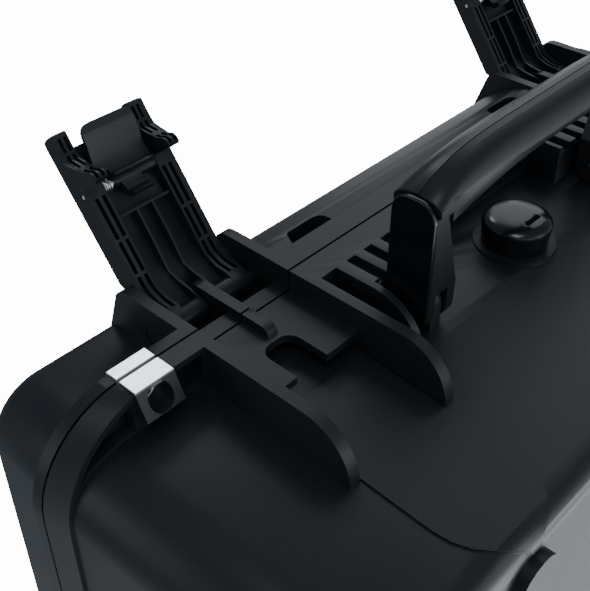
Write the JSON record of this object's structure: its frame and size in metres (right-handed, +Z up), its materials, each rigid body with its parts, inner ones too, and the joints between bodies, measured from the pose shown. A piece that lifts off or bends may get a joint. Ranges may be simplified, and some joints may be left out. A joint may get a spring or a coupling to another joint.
{
  "type": "sampling pad case",
  "caption": "Moulded carrying case lined with foam, with a hinged lid, swing latches with release triggers, a folding handle, padlock lugs and a pressure valve.",
  "frame": {"origin": "centre of the part's box, on the plane that its feet rest on", "axes": "+X along the length, -Y out of the front with the handle and latches, +Z up through the lid"},
  "size_m": [0.544, 0.4942, 0.2662],
  "materials": {
    "shell_plastic": "fine-grained satin",
    "fitting_plastic": "satin",
    "smooth_plastic": "gloss",
    "stainless_steel": "bright",
    "seal_rubber": "matt",
    "foam": "open-cell foam",
    "vent_membrane": "matt"
  },
  "bodies": {
    "base": {"base_shell": "shell_plastic", "base_foam": "foam", "base_foam_bottom": "foam", "padlock_clip_base_left": "stainless_steel", "padlock_clip_base_right": "stainless_steel", "valve_body": "fitting_plastic", "valve_cap": "smooth_plastic", "valve_o_ring": "seal_rubber", "valve_membrane": "vent_membrane", "valve_nut": "fitting_plastic", "handle_pin_left": "stainless_steel", "handle_pin_right": "stainless_steel", "hinge_pin_left": "stainless_steel", "hinge_pin_right": "stainless_steel"},
    "lid": {"lid_shell": "shell_plastic", "lid_gasket": "seal_rubber", "lid_foam": "foam", "padlock_clip_lid_left": "stainless_steel", "padlock_clip_lid_right": "stainless_steel", "latch_rod_left": "fitting_plastic", "latch_rod_right": "fitting_plastic"},
    "latch_left": {"latch_body_left": "fitting_plastic", "trigger_pin_left": "stainless_steel", "trigger_spring_left": "stainless_steel"},
    "latch_right": {"latch_body_right": "fitting_plastic", "trigger_pin_right": "stainless_steel", "trigger_spring_right": "stainless_steel"},
    "trigger_left": {"latch_trigger_left": "fitting_plastic"},
    "trigger_right": {"latch_trigger_right": "fitting_plastic"},
    "handle": {"handle_frame": "fitting_plastic", "handle_grip": "fitting_plastic", "handle_cap_left": "smooth_plastic", "handle_cap_right": "smooth_plastic"}
  },
  "joints": [
    {"name": "lid_hinge", "type": "hinge", "parent": "base", "child": "lid", "pos_m": [0, 0.24005, 0.165], "axis": [-1, 0, 0], "range_deg": [0, 100]},
    {"name": "latch_swing_left", "type": "hinge", "parent": "lid", "child": "latch_left", "pos_m": [-0.152, -0.16545, 0.1914], "axis": [1, 0, 0], "range_deg": [0, 127.5]},
    {"name": "latch_swing_right", "type": "hinge", "parent": "lid", "child": "latch_right", "pos_m": [0.152, -0.16545, 0.1914], "axis": [1, 0, 0], "range_deg": [0, 127.5]},
    {"name": "trigger_lift_left", "type": "hinge", "parent": "latch_left", "child": "trigger_left", "pos_m": [-0.152, -0.21545, 0.24237], "axis": [-1, 0, 0], "range_deg": [0, 15], "stiffness_Nm_per_rad": 0.02, "springref_deg": -17.19},
    {"name": "trigger_lift_right", "type": "hinge", "parent": "latch_right", "child": "trigger_right", "pos_m": [0.152, -0.21545, 0.24237], "axis": [-1, 0, 0], "range_deg": [0, 15], "stiffness_Nm_per_rad": 0.02, "springref_deg": -17.19},
    {"name": "handle_fold", "type": "hinge", "parent": "base", "child": "handle", "pos_m": [0, -0.17145, 0.114], "axis": [1, 0, 0], "range_deg": [0, 90]}
  ]
}
